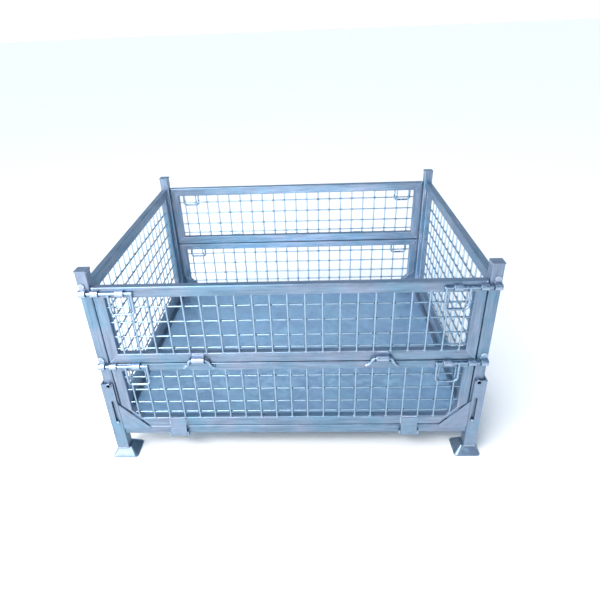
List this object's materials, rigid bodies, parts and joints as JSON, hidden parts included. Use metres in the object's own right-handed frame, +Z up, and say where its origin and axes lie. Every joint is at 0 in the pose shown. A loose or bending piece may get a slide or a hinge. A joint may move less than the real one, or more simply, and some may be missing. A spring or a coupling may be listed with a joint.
{
  "type": "wire mesh container",
  "caption": "Collapsible galvanised wire mesh container with lifting side walls, hinged half gates at front and back, slide bolts and stacking feet.",
  "frame": {"origin": "on the floor at the middle of the footprint", "axes": "+X along the long side, to the right seen from the front; +Y to the back; +Z up"},
  "size_m": [1.251, 1.051, 0.695],
  "materials": {
    "galvanised_tube": "galvanised, light blue grey with lavender tints, satin",
    "galvanised_wire": "galvanised drawn wire, bright",
    "galvanised_sheet": "galvanised sheet, soft mottled spangle",
    "galvanised_plate": "galvanised plate, cut edges and weld beads",
    "galvanised_rod": "galvanised round bar, brightest where hands slide it"
  },
  "bodies": {
    "root": {"base_frame": "galvanised_tube", "deck_sheet": "galvanised_sheet", "leg_front_left": "galvanised_plate", "leg_front_right": "galvanised_plate", "leg_back_left": "galvanised_plate", "leg_back_right": "galvanised_plate", "foot_front_left": "galvanised_plate", "foot_front_right": "galvanised_plate", "foot_back_left": "galvanised_plate", "foot_back_right": "galvanised_plate", "gusset_front_left": "galvanised_plate", "gusset_front_right": "galvanised_plate", "gusset_back_left": "galvanised_plate", "gusset_back_right": "galvanised_plate", "front_hinge_pin_left": "galvanised_rod", "front_hinge_pin_right": "galvanised_rod", "back_hinge_pin_left": "galvanised_rod", "back_hinge_pin_right": "galvanised_rod"},
    "front_lower_gate": {"front_lower_gate_frame": "galvanised_tube", "front_lower_gate_mesh": "galvanised_wire", "front_hinge_rod_left": "galvanised_rod", "front_hinge_rod_right": "galvanised_rod"},
    "front_upper_gate": {"front_upper_gate_frame": "galvanised_tube", "front_upper_gate_mesh": "galvanised_wire"},
    "front_upper_bolt_left": {"front_upper_bolt_left": "galvanised_rod"},
    "front_upper_bolt_right": {"front_upper_bolt_right": "galvanised_rod"},
    "front_lower_bolt_left": {"front_lower_bolt_left": "galvanised_rod"},
    "front_lower_bolt_right": {"front_lower_bolt_right": "galvanised_rod"},
    "back_lower_gate": {"back_lower_gate_frame": "galvanised_tube", "back_lower_gate_mesh": "galvanised_wire", "back_hinge_rod_left": "galvanised_rod", "back_hinge_rod_right": "galvanised_rod"},
    "back_upper_gate": {"back_upper_gate_frame": "galvanised_tube", "back_upper_gate_mesh": "galvanised_wire"},
    "back_upper_bolt_left": {"back_upper_bolt_left": "galvanised_rod"},
    "back_upper_bolt_right": {"back_upper_bolt_right": "galvanised_rod"},
    "back_lower_bolt_left": {"back_lower_bolt_left": "galvanised_rod"},
    "back_lower_bolt_right": {"back_lower_bolt_right": "galvanised_rod"},
    "left_wall": {"left_wall_frame": "galvanised_tube", "left_wall_mesh": "galvanised_wire", "post_front_left": "galvanised_tube", "post_back_left": "galvanised_tube", "keeper_upper_front_left": "galvanised_plate", "keeper_upper_back_left": "galvanised_plate", "keeper_lower_front_left": "galvanised_plate", "keeper_lower_back_left": "galvanised_plate", "slot_pin_front_left": "galvanised_rod", "slot_pin_back_left": "galvanised_rod"},
    "right_wall": {"right_wall_frame": "galvanised_tube", "right_wall_mesh": "galvanised_wire", "post_front_right": "galvanised_tube", "post_back_right": "galvanised_tube", "keeper_upper_front_right": "galvanised_plate", "keeper_upper_back_right": "galvanised_plate", "keeper_lower_front_right": "galvanised_plate", "keeper_lower_back_right": "galvanised_plate", "slot_pin_front_right": "galvanised_rod", "slot_pin_back_right": "galvanised_rod"}
  },
  "joints": [
    {"name": "front_lower_gate_hinge", "type": "hinge", "parent": "root", "child": "front_lower_gate", "pos_m": [0, -0.5111, 0.0985], "axis": [1, 0, 0], "range_deg": [0, 98]},
    {"name": "front_upper_gate_hinge", "type": "hinge", "parent": "front_lower_gate", "child": "front_upper_gate", "pos_m": [0, -0.514, 0.396], "axis": [1, 0, 0], "range_deg": [0, 180]},
    {"name": "front_upper_bolt_slide_left", "type": "slide", "parent": "front_upper_gate", "child": "front_upper_bolt_left", "axis": [-1, 0, 0], "range_m": [-0.015, 0.013]},
    {"name": "front_upper_bolt_slide_right", "type": "slide", "parent": "front_upper_gate", "child": "front_upper_bolt_right", "axis": [1, 0, 0], "range_m": [-0.015, 0.013]},
    {"name": "front_lower_bolt_slide_left", "type": "slide", "parent": "front_lower_gate", "child": "front_lower_bolt_left", "axis": [-1, 0, 0], "range_m": [-0.015, 0.013]},
    {"name": "front_lower_bolt_slide_right", "type": "slide", "parent": "front_lower_gate", "child": "front_lower_bolt_right", "axis": [1, 0, 0], "range_m": [-0.015, 0.013]},
    {"name": "back_lower_gate_hinge", "type": "hinge", "parent": "root", "child": "back_lower_gate", "pos_m": [0, 0.5111, 0.0985], "axis": [-1, 0, 0], "range_deg": [0, 98]},
    {"name": "back_upper_gate_hinge", "type": "hinge", "parent": "back_lower_gate", "child": "back_upper_gate", "pos_m": [0, 0.514, 0.396], "axis": [-1, 0, 0], "range_deg": [0, 180]},
    {"name": "back_upper_bolt_slide_left", "type": "slide", "parent": "back_upper_gate", "child": "back_upper_bolt_left", "axis": [-1, 0, 0], "range_m": [-0.015, 0.013]},
    {"name": "back_upper_bolt_slide_right", "type": "slide", "parent": "back_upper_gate", "child": "back_upper_bolt_right", "axis": [1, 0, 0], "range_m": [-0.015, 0.013]},
    {"name": "back_lower_bolt_slide_left", "type": "slide", "parent": "back_lower_gate", "child": "back_lower_bolt_left", "axis": [-1, 0, 0], "range_m": [-0.015, 0.013]},
    {"name": "back_lower_bolt_slide_right", "type": "slide", "parent": "back_lower_gate", "child": "back_lower_bolt_right", "axis": [1, 0, 0], "range_m": [-0.015, 0.013]},
    {"name": "left_wall_lift", "type": "slide", "parent": "root", "child": "left_wall", "axis": [0, 0, 1], "range_m": [0, 0.085]},
    {"name": "right_wall_lift", "type": "slide", "parent": "root", "child": "right_wall", "axis": [0, 0, 1], "range_m": [0, 0.085]}
  ]
}
